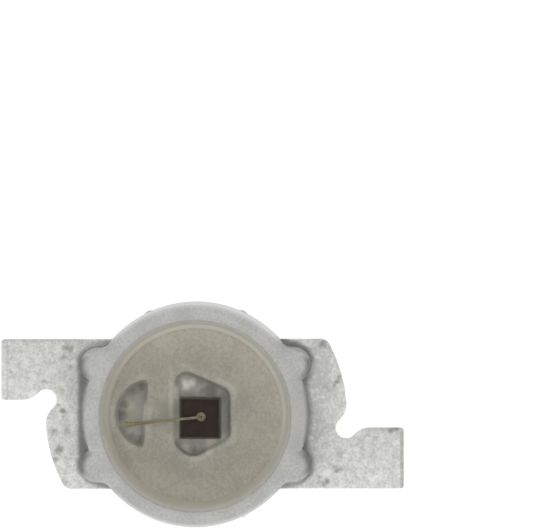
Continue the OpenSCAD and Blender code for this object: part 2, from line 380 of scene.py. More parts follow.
def lit_edges(x, y):
    """Where the windows' edges lie in the light: left of the chip, at the bevel, and amid the half-moon."""
    by_chip = x.between(-0.32, -0.28, -0.18, -0.15) * y.between(-0.28, -0.18, 0.23, 0.31)
    by_moon = x.between(-0.58, -0.53, -0.40, -0.36) * y.between(-0.16, -0.04, 0.04, 0.18)
    by_bevel = x.between(0.07, 0.13, 0.28, 0.36) * y.between(-0.37, -0.33, -0.23, -0.15)
    return (by_chip | by_moon * 0.75 | by_bevel * 0.6) * 0.95


# Patches on the metal: stains, and spots where the line of grime and painted shade is lighter, in front;
# soot on the back.
stains = [
    ((-1.206, 0.616), 0.07, 0.55), ((-1.175, 0.606), 0.05, 0.45), ((-1.236, 0.530), 0.04, 0.45),
    ((-1.175, 0.449), 0.04, 0.3), ((-1.418, 0.312), 0.045, 0.5), ((-1.281, 0.084), 0.03, 0.5),
    ((-1.251, 0.033), 0.04, 0.6), ((-1.246, -0.028), 0.03, 0.45), ((-1.327, -0.170), 0.045, 0.4),
    ((-1.200, -0.160), 0.045, 0.35), ((-1.281, -0.332), 0.07, 0.55), ((-1.317, -0.428), 0.055, 0.45),
    ((-1.236, -0.636), 0.05, 0.3), ((-1.737, 0.398), 0.045, 0.35), ((-1.732, 0.520), 0.045, 0.35),
    ((1.180, 0.662), 0.06, 0.55), ((1.212, 0.632), 0.05, 0.45), ((1.336, 0.335), 0.04, 0.5),
    ((1.316, 0.300), 0.04, 0.6), ((1.290, 0.268), 0.035, 0.5), ((1.220, 0.250), 0.06, 0.25),
    ((1.320, -0.527), 0.04, 0.5), ((1.350, -0.522), 0.035, 0.5), ((1.300, -0.490), 0.06, 0.3),
    ((1.340, -0.385), 0.05, 0.25), ((1.820, -0.150), 0.05, 0.8), ((1.870, -0.150), 0.05, 0.8),
    ((1.150, -0.595), 0.035, 0.5), ((1.150, -0.630), 0.035, 0.45), ((1.222, -0.630), 0.04, 0.65),
    # The stain at (0.85, 0.635), by the upper right ear, also deepens the painted shade there.
    ((1.195, -0.655), 0.04, 0.5), ((0.85, 0.635), 0.07, 0.6), ((-1.225, 0.575), 0.04, 0.35),
]
# Painted highlights on the feet.
painted_foot_glints = [
    ((1.217, -0.56), 0.05, 0.3), ((1.505, -0.175), 0.06, 0.25), ((1.437, -0.217), 0.05, 0.2),
    ((1.512, -0.338), 0.05, 0.15), ((-1.525, 0.176), 0.06, 0.25), ((-1.665, 0.213), 0.05, 0.2),
]
lighter_line_spots = [
    ((-0.93, 0.68), 0.25, 0.75), ((-0.93, -0.68), 0.25, 0.3), ((0.91, -0.71), 0.2, 0.5),
    ((0.80, -0.72), 0.12, 0.5), ((-0.80, 0.70), 0.12, 0.8), ((1.10, 0.42), 0.13, 0.65),
    ((1.10, -0.45), 0.14, 0.4), ((1.08, -0.36), 0.10, 0.6), ((1.08, 0.15), 0.25, 0.3),
    ((1.08, -0.12), 0.25, 0.3), ((-1.05, 0.0), 0.45, 1.0),
]
soot = [
    ((1.264, -0.294), 0.05, 0.8), ((1.217, -0.117), 0.05, 0.8), ((1.45, -0.235), 0.07, 0.6),
    ((1.55, -0.225), 0.08, 0.65), ((1.66, -0.210), 0.08, 0.7), ((1.76, -0.190), 0.08, 0.7),
]
# Painted shade, painted glints and tarnish in the windows.
window_shadows = [
    ((0.144, 0.254), 0.16, 0.75), ((0.275, 0.170), 0.14, 0.55), ((0.050, 0.330), 0.10, 0.6),
    ((-0.05, 0.370), 0.09, 0.6), ((-0.173, 0.30), 0.06, 0.45), ((-0.173, -0.28), 0.06, 0.45),
    ((-0.13, -0.360), 0.08, 0.6), ((-0.01, -0.355), 0.10, 0.8), ((0.04, -0.334), 0.08, 0.6),
    ((0.215, -0.24), 0.06, 0.4), ((0.300, -0.130), 0.08, 0.25), ((-0.505, 0.28), 0.12, 1.0),
    ((-0.60, 0.250), 0.11, 0.8), ((-0.70, 0.100), 0.10, 0.75), ((-0.716, 0.0), 0.11, 0.95),
    ((-0.69, -0.14), 0.08, 0.5), ((-0.62, -0.220), 0.10, 0.65), ((-0.514, -0.25), 0.12, 1.0),
]
glints = [
    ((-0.085, 0.285), 0.085, 0.75), ((-0.045, 0.300), 0.080, 0.65), ((0.05, 0.215), 0.14, 0.2),
    ((-0.104, -0.320), 0.07, 0.3), ((-0.620, 0.085), 0.08, 0.25),
]
tarnished = [((-0.625, 0.03), 0.10, 0.35), ((-0.632, -0.10), 0.09, 0.55)]

tin_dull, tin_bright = (0.58, 0.58, 0.56, 1), (0.83, 0.83, 0.80, 1)
grime_and_shade_grey = (0.19, 0.188, 0.184, 1)
silver_dull, silver_bright = (0.42, 0.42, 0.39, 1), (1.0, 0.99, 0.96, 1)
tarnish = (0.56, 0.53, 0.34, 1)
lit_silver = (0.95, 0.90, 0.75, 1)
window_shadow_grey = (0.20, 0.20, 0.188, 1)
ear_at = (0.910, 0.465)
ear_radius = 0.17

tin, tin_shader, place = new_finish("mottled_tin")
x, y, z = (place.axis(name) for name in "XYZ")
aside = abs(y)
front = z.rise(strip_middle - 0.005, strip_middle + 0.005)
back = z.fall(0.115, 0.135)
cloud = place.grain(3.0, 2.0)
mottle = place.grain(16.0, 3.0, 1.0)
speck = place.grain(42.0, 3.0, 2.0)

# Grime and painted shade darken the leads along the moulding, and fill the left lead up between the ears.
body_gap = away_from(x, y, (0, 0)) - body_radius
ear_gap = away_from(abs(x), aside, ear_at) - ear_radius
rounding = 0.10 + aside.rise(0.42, 0.52) * 0.055
gap = body_gap.math("SMOOTH_MIN", ear_gap, rounding) + (mottle - 0.5) * 0.03
line = gap.fall(0.005, 0.058) * (1.0 - spots(x, y, lighter_line_spots, mottle))
between_ears = x.between(-1.13, -1.075, -0.1, 0.1) * aside.fall(0.36, 0.46) * body_gap.rise(-0.02, 0.035)
grime_and_shade = (line | between_ears) * 0.8

# A few edges in front are darker; on the back the cut ends carry painted shade for their rolled-over slope.
cut_line = abs(x - (left_tip + 0.058)).fall(0.0, 0.018) * 0.22
sheared = x.rise(right_tip - 0.045, right_tip - 0.02) * 0.38
top_edge = y.rise(lead_half - 0.035, lead_half - 0.01) * x.fall(-1.1, -1.0) * 0.22
foot_shade = y.rise(foot_edge - 0.055, foot_edge - 0.02) * x.rise(1.52, 1.62) * 0.2
front_marks = spots(x, y, stains, mottle) | grime_and_shade | cut_line | sheared | top_edge | foot_shade
cut_end_shade = x.rise(right_tip - 0.14, right_tip - 0.10) | x.fall(left_tip + 0.07, left_tip + 0.11)
back_marks = cut_end_shade * mottle.rise(0.25, 0.6) * 0.6 | spots(x, y, soot, mottle)

# Inside the moulding the strip is bare of tin: silvery under the resin, with painted glints in its tone.
bare = body_gap.fall(-0.14, -0.12) * front
bright = cloud * 0.25 + mottle * 0.35 + spots(x, y, glints, mottle)
# Painted light on the lit edges of the windows, and painted shade along the rest of their edges.
lit = lit_edges(x, y)
shade = window_depth(x, y).fall(0.005, 0.05) * 0.35 * (1.0 - lit) | spots(x, y, window_shadows, mottle)
strip = bright.rise(0.1, 1.1).blend(silver_dull, silver_bright)
strip = spots(x, y, tarnished, mottle).blend(strip, tarnish)
strip = (lit * x.rise(-0.40, -0.30)).blend(strip, lit_silver)
strip = shade.blend(strip, window_shadow_grey)

smudge = x.between(1.05, 1.12, 1.15, 1.5) * y.rise(-0.4, 0.0) * front * 0.08
shine = mottle * 0.4 + cloud * 0.15 + speck * 0.45 + spots(x, y, painted_foot_glints, speck)
clean = (shine - smudge).rise(0.36, 0.64).blend(tin_dull, tin_bright)
marks = (front_marks * front + back_marks * back) * (1.0 - bare)
marks.blend(bare.blend(clean, strip), grime_and_shade_grey).feed(tin_shader.inputs["Base Color"])
(1.0 - marks * 0.7 - bare * 0.7).feed(tin_shader.inputs["Metallic"])
(0.40 + speck * 0.2 + marks * 0.2).feed(tin_shader.inputs["Roughness"])
relief = {"Strength": 0.5, "Distance": 0.004 * mm, "Height": mottle * 0.6 + speck * 0.4}
place.node("ShaderNodeBump", {}, relief).feed(tin_shader.inputs["Normal"])


def finished(piece, node, material, crease=28):
    """Shades a piece, scales it to metres and puts it in the place of its solid."""
    piece.data.transform(Matrix.Scale(mm, 4))
    piece.data.shade_smooth()
    piece.data.set_sharp_from_angle(angle=math.radians(crease))
    normals = piece.modifiers.new("even_shading", "WEIGHTED_NORMAL")
    normals.keep_sharp = True
    bake(piece)
    piece.data.materials.clear()
    piece.data.materials.append(material)
    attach(piece, "root")
    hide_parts(node)


# A copy of each lead, still in millimetres, is kept to cut its place out of the plastic.
lead_shapes = []
for lead, node in ((wire_lead, "anode_lead"), (chip_lead, "cathode_lead")):
    lead_shapes.append(placed(lead.name + "_shape", lead.data.copy()))
    finished(lead, node, tin)

# Housing
# A white cup moulded in one shot of filled plastic round the two leads. Four ears clamp the leads at its
# corners, the mould's parting leaves four ridges, and the gate is broken off flush in the back window.
body_height = body_high[2]
strip_low = 0.10
strip_high = 0.25
wall_lean = 0.022
back_lean = 0.04
back_edge = 0.012
rim_edge = 0.035
mouth_edge = 0.018
mouth_radius = 0.884
floor_radius = 0.815
floor_top = 0.31
floor_round = 0.03
ridge_height = 0.016
ridge_width = 0.08
ridge_bearing = 65
ear_reach = math.hypot(*ear_at)
ear_bearing = bearing(*ear_at)
ear_fillet = 0.10
fillet_reach = body_radius + ear_fillet
fillet_bearing = ear_bearing + facing_angle(fillet_reach, ear_reach, ear_radius + ear_fillet)
fillet_at = polar(fillet_reach, fillet_bearing)
inner_spread = 3.0
ear_columns, fillet_columns, side_columns, end_columns = 25, 9, 18, 48


def moulding_loop(height, body, ear=None, ridge=0.0, spread=None):
    """The outline of the moulding at one height, with or without its ears and ridges."""
    start = ear_bearing - facing_angle(body_radius, ear_reach, ear_radius)
    stop = fillet_bearing
    if spread is not None:
        start, stop = ear_bearing - spread, ear_bearing + spread
    corner = polar(body, np.linspace(start, stop, ear_columns + fillet_columns))
    if ear is not None:
        start = ear_bearing - facing_angle(body, ear_reach, ear)
        cusp = bearing(*(polar(body, start) - ear_at))
        round_ear = ear_at + polar(ear, np.linspace(cusp, bearing(*(fillet_at - ear_at)), ear_columns))
        turns = np.linspace(bearing(*(ear_at - fillet_at)), bearing(*-fillet_at), fillet_columns + 1)[1:]
        corner = np.concatenate([round_ear, fillet_at + polar(ear_fillet + ear_radius - ear, turns)])
    side = polar(body, np.linspace(0, start, side_columns)[:-1])
    turns = np.linspace(stop, 90, end_columns)[1:]
    from_ridge = np.radians(np.abs(turns - ridge_bearing)) * body_radius
    end = polar(body + ridge * np.clip(1 - from_ridge / (ridge_width / 2), 0, 1), turns)
    quadrant = np.concatenate([side, corner, end])
    half = np.concatenate([quadrant, (quadrant * [-1, 1])[-2:0:-1]])
    return level(np.concatenate([half, -half]), height)


def ring_loop(height, radius):
    """A plain ring inside the rim, with its columns drawn together behind the ears."""
    return moulding_loop(height, radius, spread=inner_spread)


def cup_wall(height):
    """The radius of the cup's inside at one height, between its floor and its rim."""
    return floor_radius + (mouth_radius - floor_radius) * (height - floor_top) / (body_height - floor_top)


moulding = []
for rise, inset in rounded(5):
    moulding.append(moulding_loop(back_edge * rise, body_radius - back_lean - back_edge * inset))
moulding.append(moulding_loop(strip_low, body_radius))
moulding.append(moulding_loop(strip_low, body_radius, ridge=ridge_height))
moulding.append(moulding_loop(strip_high, body_radius, ridge=ridge_height))
moulding.append(moulding_loop(strip_high, body_radius))
moulding.append(moulding_loop(strip_high, body_radius, ear_radius))
for curl, drop in rounded(8):
    height = body_height - rim_edge * drop
    inset = wall_lean * (height - strip_high) / (body_height - strip_high) + rim_edge * curl
    moulding.append(moulding_loop(height, body_radius - inset, ear_radius - inset))
for curl, drop in rounded(8)[::-1]:
    height = body_height - mouth_edge * drop
    moulding.append(ring_loop(height, cup_wall(height) + mouth_edge * curl))
for curl, rise in rounded(6):
    height = floor_top + floor_round * rise
    moulding.append(ring_loop(height, cup_wall(height) - floor_round * curl))
cup = lofted("moulded_cup", moulding)

# The back has an open slot behind the wire lead, and a closed one with a round head behind the chip lead.
slot_middle = 0.035
slot_half = 0.2325
slot_corner = 0.09
slot_lip = 0.012
mouth_round = 0.06
mouth_turn = 170
flare_half = 0.6
flare_round = 0.1
wire_slot_end = wire_lead_end - 0.06
chip_slot_end = chip_lead_end + 0.10
head_at = (0.56, slot_middle)
head_radius = 0.33
head_round = 0.06
flash_top = 0.05
flash_start = 0.16
flash_bearing = -25
below_back = -0.05
into_lead = 0.01
skin_clear = 0.002


def wire_slot():
    """The open slot, with its mouth rounded into the edge of the disc."""
    mouth = []
    for side in (1, -1):
        y = slot_middle + side * (slot_half + mouth_round)
        x = -math.sqrt((body_radius - mouth_round)**2 - y**2)
        mouth.append(((x, y), mouth_turn + bearing(-x, side * y)))
    (upper, upper_turn), (lower, lower_turn) = mouth
    return [
        ((wire_slot_end - slot_corner, slot_middle - slot_half + slot_corner), slot_corner, -90, 0),
        ((wire_slot_end - slot_corner, slot_middle + slot_half - slot_corner), slot_corner, 0, 90),
        (upper, mouth_round, -90, -upper_turn),
        ((-shoulder, flare_half), flare_round, 90, 180),
        ((-shoulder, -flare_half), flare_round, 180, 270),
        (lower, mouth_round, lower_turn, 90),
    ]


def chip_slot(skinned):
    """The closed slot with its round head, whole or less the skin of flash that is left in the head."""
    rise = slot_half + head_round
    run = math.sqrt((head_radius + head_round)**2 - rise**2)
    turn = bearing(run, rise)
    head = [(head_at, head_radius, turn - 180, 180 - turn)]
    if skinned:
        centre_along = float(np.dot(polar(1.0, flash_bearing), np.subtract(head_at, gate_at)))
        spread = math.degrees(math.acos((flash_start - centre_along) / head_radius))
        head = [
            (head_at, head_radius, turn - 180, flash_bearing - spread),
            (head_at, head_radius, flash_bearing + spread, 180 - turn),
        ]
    left = chip_slot_end + slot_corner
    return [
        *head,
        ((head_at[0] - run, slot_middle + rise), head_round, -turn, -90),
        ((left, slot_middle + slot_half - slot_corner), slot_corner, 90, 180),
        ((left, slot_middle - slot_half + slot_corner), slot_corner, 180, 270),
        ((head_at[0] - run, slot_middle - rise), head_round, 90, turn),
    ]


def back_cutter(name, arcs, top, grow=0.0):
    """A cutter for a window in the back, drafted and with a rounded lip, up to one height."""
    loops = [level(outline(arcs, back_lean + slot_lip), below_back)]
    for rise, lip in rounded(4):
        height = slot_lip * rise
        draft = back_lean * (1 - height / strip_low)
        loops.append(level(outline(arcs, grow + slot_lip * lip + draft), height))
    loops.append(level(outline(arcs, grow + back_lean * (1 - top / strip_low)), top))
    return lofted(name, loops)


back_cutters = [
    back_cutter("wire_window", wire_slot(), strip_low + into_lead),
    back_cutter("chip_window", chip_slot(False), flash_top),
    back_cutter("skinned_window", chip_slot(True), strip_low + into_lead, -skin_clear),
]
combine(cup, "DIFFERENCE", *back_cutters)

# The floor's windows lean outwards, the gate's stub fills its hole, and the leads take their places.
window_foot = 0.003
window_lean = 0.03
window_lip = 0.012
lip_sweep = 75
lip_flare = 1.2
above_window = 0.02
blind_bottom = 0.2
stub_low, stub_high = 0.08, 0.2
stub_clear = 0.005


def floor_cutter(name, arcs, grow, low):
    """A leaning cutter for a window in the floor, with a rounded lip."""
    foot = outline(arcs, grow)
    loops = [level(foot, low), level(foot, strip_high - window_foot)]
    for curl, drop in rounded(6, lip_sweep):
        height = floor_top - window_lip * drop
        lean = window_lean * (height - strip_high) / (floor_top - strip_high)
        loops.append(level(outline(arcs, grow + lean + window_lip * curl), height))
    flare = outline(arcs, grow + window_lean + window_lip * lip_flare)
    loops.append(level(flare, floor_top + above_window))
    return lofted(name, loops)


openings = {"moon_opening": moon_opening(), "chip_opening": chip_opening()}
floor_cutters = [floor_cutter(name, arcs, 0.0, blind_bottom) for name, arcs in openings.items()]
combine(cup, "DIFFERENCE", *floor_cutters)
combine(cup, "UNION", disc("gate_stub", gate_at, gate_radius - stub_clear, stub_low, stub_high))
combine(cup, "DIFFERENCE", *lead_shapes)

plastic_dark, plastic_light = (0.40, 0.398, 0.384, 1), (0.50, 0.498, 0.482, 1)
edge_glow_white = (0.62, 0.62, 0.61, 1)
rim_shade_grey = (0.33, 0.325, 0.30, 1)
soil_and_shade = (0.11, 0.109, 0.104, 1)
tan_dark, tan, tan_light = (0.53, 0.51, 0.455, 1), (0.66, 0.64, 0.575, 1), (0.80, 0.78, 0.71, 1)
dark_patch_tan = (0.45, 0.435, 0.39, 1)
halo_white = (0.86, 0.86, 0.80, 1)
wall_painted_light = (0.90, 0.88, 0.80, 1)
wall_lit = (1.0, 0.99, 0.93, 1)
mouth_painted_light = (1.0, 1.0, 0.985, 1)
edge_lit = (0.97, 0.96, 0.90, 1)
edge_shade = (0.44, 0.44, 0.415, 1)
black, white = (0, 0, 0, 1), (1, 1, 1, 1)
ear_corners = [((-1.02, 0.34), 0.06, 0.8), ((-1.02, -0.34), 0.06, 0.8)]
dark_floor_patches = [((-0.262, 0.05), 0.17, 0.9), ((-0.20, -0.02), 0.10, 0.4)]
bevel_glints = [((0.118, -0.358), 0.05, 0.9), ((0.14, -0.345), 0.04, 0.8)]

plastic, plastic_shader, place = new_finish("filled_white_plastic")
x, y, z = (place.axis(name) for name in "XYZ")
aside = abs(y)
radius = away_from(x, y, (0, 0))
grain = place.grain(40.0, 3.0)
haze = place.grain(4.0, 3.0, 1.0)
tone = (grain * 0.6 + haze * 0.4).rise(0.38, 0.62)
outside = tone.blend(plastic_dark, plastic_light)
# Painted light: the moulding's outer edge, away from the leads, is lighter.
edge_glow = radius.rise(0.985, 1.03) * aside.rise(0.62, 0.80)
outside = edge_glow.blend(outside, edge_glow_white)
# Painted shade: the rim darkens towards the cup's mouth and on its right side.
mouth = radius.fall(mouth_radius, 0.945) * 0.22
right_rim_shade = x.rise(0.80, 0.90) * aside.fall(0.30, 0.50) * 0.3
outside = (mouth | right_rim_shade).blend(outside, rim_shade_grey)

# Grime and painted shade darken the walls over the leads, most of all by the ears, and a little round the
# windows of the back.
by_leads = (aside + (haze - 0.5) * 0.1).fall(0.62, 0.74) * radius.rise(0.94, 0.96) * z.rise(0.24, 0.25)
by_ears = aside.rise(0.30, 0.38)
ear_gap = away_from(abs(x), aside, ear_at) - ear_radius
edge = ear_gap.math("SMOOTH_MIN", radius - body_radius, 0.155) + (haze - 0.5) * 0.02
flank = edge.rise(-0.095, -0.015) * by_ears * aside.fall(0.50, 0.58)
edge_line = edge.rise(-0.045, -0.012) * (0.42 + x.rise(0.7, 0.8) * 0.23)
foot = (z + (haze - 0.5) * 0.1).fall(0.3, 0.85) * (0.6 + by_ears * 0.4)
walls = (foot | flank | edge_line) * by_leads * 0.95
drafts = z.between(0.051, 0.07, 0.097, 0.101) * aside.fall(0.66, 0.74) * 0.5
# The gate's stub is darker at its end.
gate_scar = away_from(x, y, gate_at).fall(gate_radius, gate_radius + 0.01)
gate_scar = gate_scar * z.between(0.06, 0.07, 0.11, 0.12) * 0.25
soiled_and_shaded = walls | spots(x, y, ear_corners, haze) | drafts | gate_scar
outside = soiled_and_shaded.blend(outside, soil_and_shade)

# Painted light under the resin: the plastic is tan on the floor and lighter on the wall that faces the
# light.
inside_cup = radius.fall(mouth_radius - 0.005, mouth_radius + 0.005) * z.rise(0.22, 0.23)
above_floor = z.rise(floor_top + 0.004, floor_top + 0.04)
below_floor = z.fall(floor_top - 0.010, floor_top - 0.0002)
northward = y / radius
dim = tone.blend(tan_dark, tan)
pale = tone.blend(tan, tan_light)
# Painted light: the floor is lighter towards its edge, except on the left.
under_resin = (radius.rise(0.50, 0.82) * x.rise(-0.75, -0.35)).blend(dim, pale)
# Darker patches on the floor left of the chip.
under_resin = spots(x, y, dark_floor_patches, haze).blend(under_resin, dark_patch_tan)
# Painted highlights: a light ring round the windows and glints at the bevel.
halo = abs(window_depth(x, y) + 0.062).fall(0.0, 0.04) * haze.rise(0.3, 0.7) * 0.55
under_resin = (halo | spots(x, y, bevel_glints, haze)).blend(under_resin, halo_white)
# Painted light: the wall is lighter than the floor, most of all low on its north side and up by the mouth.
under_resin = above_floor.blend(under_resin, wall_painted_light)
lower_wall = above_floor * z.fall(0.48, 0.60) * northward.rise(-0.35, 0.15)
under_resin = lower_wall.blend(under_resin, wall_lit)
under_resin = z.rise(0.52, 0.74).blend(under_resin, mouth_painted_light)

# The edges of the floor's windows get painted light or painted shade, and the cup's wall a painted glow.
lit = lit_edges(x, y)
under_resin = (lit * below_floor).blend(under_resin, edge_lit)
window_wall = radius.fall(0.79, 0.80) * z.rise(0.22, 0.24) * below_floor
window_wall = window_wall * (1.0 - lit) * (0.3 + spots(x, y, window_shadows, haze) * 0.6)
base = window_wall.blend(inside_cup.blend(outside, under_resin), edge_shade)
base.feed(plastic_shader.inputs["Base Color"])
# Painted glow: a faint emission on the cup's wall and on the lit edges of the windows.
facing = (y * 0.8 + x * 0.6) / radius
painted_glow = above_floor * z.fall(0.45, 0.57) * facing.rise(-0.2, 0.5) * 0.07
painted_glow = painted_glow + z.rise(0.35, 0.74) * northward.fall(-0.8, 0.2) * 0.045
painted_glow = painted_glow * radius.rise(0.80, 0.81) + lit * below_floor * 0.05
(painted_glow * inside_cup).blend(black, white).feed(plastic_shader.inputs["Emission Color"])
plastic_shader.inputs["Emission Strength"].default_value = 1.0
(0.5 + grain * 0.2).feed(plastic_shader.inputs["Roughness"])
relief = {"Strength": 0.4, "Distance": 0.003 * mm, "Height": grain}
place.node("ShaderNodeBump", {}, relief).feed(plastic_shader.inputs["Normal"])
finished(cup, "housing", plastic)

# Chip adhesive
# A dab of silver-filled glue, put on the chip lead through the floor's window before the chip is set in it.
# It is squeezed out into a small fillet round the chip's foot, cured hard, and carries the current.
chip_middle = (chip_low[:2] + chip_high[:2]) / 2
chip_half = (chip_high[0] - chip_low[0]) / 2
chip_corner = 0.008
square = [(1, 1), (-1, 1), (-1, -1), (1, -1)]
glue_low, glue_high = box_mm("chip_adhesive")
glue_margin = chip_low[0] - glue_low[0]
glue_foot = 0.004
glue_edge = 0.0006
glue_under_chip = 0.0004
glue_dark, glue_light = (0.22, 0.21, 0.19, 1), (0.42, 0.41, 0.38, 1)
glue_lit = (0.55, 0.53, 0.46, 1)


def chip_arcs(inset=0.0):
    """The square outline of the chip, or of a smaller square within it."""
    reach = chip_half - inset - chip_corner
    arcs = []
    for number, corner in enumerate(square):
        arcs.append((chip_middle + reach * np.array(corner), chip_corner, 90 * number, 90 * number + 90))
    return arcs


glue_loops = [level(outline(chip_arcs(), glue_margin), strip_high)]
for rise, inset in rounded(6):
    height = strip_high + glue_foot + (glue_high[2] - strip_high - glue_foot) * rise
    margin = glue_edge + (glue_margin - glue_edge) * inset
    glue_loops.append(level(outline(chip_arcs(), margin), height))
glue_loops.append(level(outline(chip_arcs(), glue_under_chip), chip_low[2]))
glue = lofted("silver_glue", glue_loops)

glue_finish, glue_shader, place = new_finish("silver_filled_glue")
flake = place.grain(60.0, 3.0)
silver = flake.rise(0.35, 0.65).blend(glue_dark, glue_light)
# Painted light: the glue's fillet left of the chip is lighter.
squeezed = place.axis("X").fall(chip_low[0], chip_low[0] + 0.003)
squeezed.blend(silver, glue_lit).feed(glue_shader.inputs["Base Color"])
glue_shader.inputs["Metallic"].default_value = 0.3
(0.45 + flake * 0.3).feed(glue_shader.inputs["Roughness"])
finished(glue, "chip_adhesive", glue_finish)

# Chip
# A block of dark semiconductor, sawn from its wafer and set in the glue. A shallow step runs round its top,
# where the street for the saw was etched into the wafer.
street_width = 0.014
street_depth = 0.008
street_low = chip_high[2] - street_depth
sawn_edge = 0.002
mesa_lean = 0.001
mesa_half = chip_half - street_width
wafer_black, wafer_brown = (0.030, 0.016, 0.009, 1), (0.045, 0.026, 0.014, 1)
street_grey = (0.10, 0.088, 0.075, 1)
chip_profile = [
    (chip_low[2], sawn_edge),
    (chip_low[2] + sawn_edge, 0.0),
    (street_low - sawn_edge, 0.0),
    (street_low, sawn_edge),
    (street_low, street_width),
    (chip_high[2] - sawn_edge, street_width + mesa_lean),
    (chip_high[2], street_width + mesa_lean + sawn_edge),
]
chip = lofted("led_chip", [level(outline(chip_arcs(inset)), height) for height, inset in chip_profile])

wafer, wafer_shader, place = new_finish("dark_wafer")
cloud = place.grain(12.0, 3.0)
dark = cloud.rise(0.35, 0.65).blend(wafer_black, wafer_brown)
across = abs(place.axis("X") - chip_middle[0])
along = abs(place.axis("Y") - chip_middle[1])
street = (across | along).rise(mesa_half - 0.003, mesa_half + 0.003)
street.blend(dark, street_grey).feed(wafer_shader.inputs["Base Color"])
wafer_shader.inputs["Specular IOR Level"].default_value = 0.12
(0.3 + cloud * 0.2).feed(wafer_shader.inputs["Roughness"])
finished(chip, "chip", wafer)

# Bond wire
# One drawn gold wire from the chip to the wire lead. A machine melts its end to a ball and welds that on the
# chip, draws a loop, and presses the other end flat on the lead as a stitch.
wire_radius = 0.013
ball_at = chip_middle + [0.012, 0.014]
ball_radius = 0.046
ball_height = 0.05
ball_base = chip_high[2]
loop_rise = 0.15
loop_radius = 0.06
land_radius = 0.03
stitch_at = np.array([wire_lead_end - 0.185, -0.090])
stitch_length = 0.08
stitch_width = 0.06
stitch_thickness = 0.012
gold_dark, gold_light = (0.27, 0.235, 0.15, 1), (0.66, 0.585, 0.41, 1)

# The wire's course in its own upright plane: up out of the ball, over, down the slope and along the lead.
run = math.hypot(*(stitch_at - ball_at))
ahead = (stitch_at - ball_at) / run
landing = strip_high + wire_radius
loop_centre = np.array([loop_radius, ball_base + loop_rise - loop_radius])
land_centre = np.array([run - stitch_length / 2, landing + land_radius])
span = land_centre - loop_centre
slope = bearing(*span) - math.degrees(math.asin((loop_radius + land_radius) / math.hypot(*span)))
climb = np.linspace(ball_base, ball_base + ball_height, 14)
pressed_run = land_centre[0] + np.linspace(0, stitch_length, 8)[1:]
route = np.concatenate([
    np.column_stack([np.zeros(len(climb)), climb]),
    loop_centre + polar(loop_radius, np.linspace(180, 90 + slope, 12)),
    land_centre + polar(land_radius, np.linspace(slope - 90, -90, 8)),
    np.column_stack([pressed_run, np.full(len(pressed_run), landing)]),
])
path = bpy.data.curves.new("wire_path", "CURVE")
path.dimensions = "3D"
spline = path.splines.new("POLY")
spline.points.add(len(route) - 1)
for point, (along, height) in zip(spline.points, route):
    point.co = (*(ball_at + along * ahead), height, 1)
wire_path = placed("wire_path", path)

gold, gold_shader, place = new_finish("drawn_gold")
streak = place.grain(50.0, 2.0)
along = place.axis("X")
# Painted light and shade along the wire: lighter in two steps along its span, with a highlight over the
# chip's edge, and darker towards the stitch.
lit_span = along.fall(-0.02, 0.01) * 0.19 + along.fall(-0.17, -0.13) * 0.19 - along.fall(-0.62, -0.50) * 0.22
over_edge = along.between(-0.19, -0.15, -0.13, -0.10) * 0.35
sheen = streak * 0.4 + 0.04 + lit_span + over_edge
sheen.blend(gold_dark, gold_light).feed(gold_shader.inputs["Base Color"])
gold_shader.inputs["Metallic"].default_value = 1.0
(0.35 + streak * 0.2).feed(gold_shader.inputs["Roughness"])

# The tree sweeps a ring along the course, swells it to the ball and presses it flat at the stitch.
wire_sizes = {
    "Wire Radius": wire_radius,
    "Ball Radius": ball_radius,
    "Ball Height": ball_height,
    "Stitch Length": stitch_length,
    "Stitch Width": stitch_width,
    "Stitch Thickness": stitch_thickness,
    "Lead Surface": strip_high,
}
form = bpy.data.node_groups.new("ball_and_stitch_wire", "GeometryNodeTree")
form.interface.new_socket("Geometry", in_out="INPUT", socket_type="NodeSocketGeometry")
for name in wire_sizes:
    form.interface.new_socket(name, in_out="INPUT", socket_type="NodeSocketFloat")
form.interface.new_socket("Geometry", in_out="OUTPUT", socket_type="NodeSocketGeometry")
given = form.nodes.new("NodeGroupInput")
route_in = Wired(given.outputs["Geometry"])
thin, ball, ball_tall, press, wide, flat, seat = (Wired(given.outputs[name]) for name in wire_sizes)
gone = route_in.node("GeometryNodeSplineParameter", {}, {}, "Length")
left = route_in.node("GeometryNodeSplineLength", {}, {}, "Length") - gone
pressed = left.node("ShaderNodeClamp", {}, {"Value": 1.0 - left / press})
from_middle = (gone / ball_tall - 0.5) * 2.0
bulge = (1.0 - from_middle * from_middle | 0.0).math("SQRT") * ball
half_width = thin + (wide * 0.5 - thin) * pressed
half_height = thin + (flat * 0.5 - thin) * pressed
curve = route_in
for name, value in (("half_width", half_width), ("half_height", half_height)):
    kept = {"Geometry": curve, "Name": name, "Value": value}
    curve = curve.node("GeometryNodeStoreNamedAttribute", {"data_type": "FLOAT", "domain": "POINT"}, kept)
ring = curve.node("GeometryNodeCurvePrimitiveCircle", {"mode": "RADIUS"}, {"Resolution": 20, "Radius": 1.0})
swept = {"Curve": curve, "Profile Curve": ring, "Scale": half_width | bulge, "Fill Caps": True}
tube = curve.node("GeometryNodeCurveToMesh", {}, swept)
was_wide = tube.node("GeometryNodeInputNamedAttribute", {"data_type": "FLOAT"}, {"Name": "half_width"})
was_high = tube.node("GeometryNodeInputNamedAttribute", {"data_type": "FLOAT"}, {"Name": "half_height"})
spot = tube.node("GeometryNodeInputPosition", {}, {})
above = spot.axis("Z") - seat - thin
sunk = seat + was_high + above * was_high / was_wide - spot.axis("Z")
shift = tube.node("ShaderNodeCombineXYZ", {}, {"Z": sunk})
tube = tube.node("GeometryNodeSetPosition", {}, {"Geometry": tube, "Offset": shift})
tube = tube.node("GeometryNodeRealizeInstances", {}, {"Geometry": tube})
tube = tube.node("GeometryNodeSetMaterial", {}, {"Geometry": tube, "Material": gold})
tube.feed(form.nodes.new("NodeGroupOutput").inputs["Geometry"])

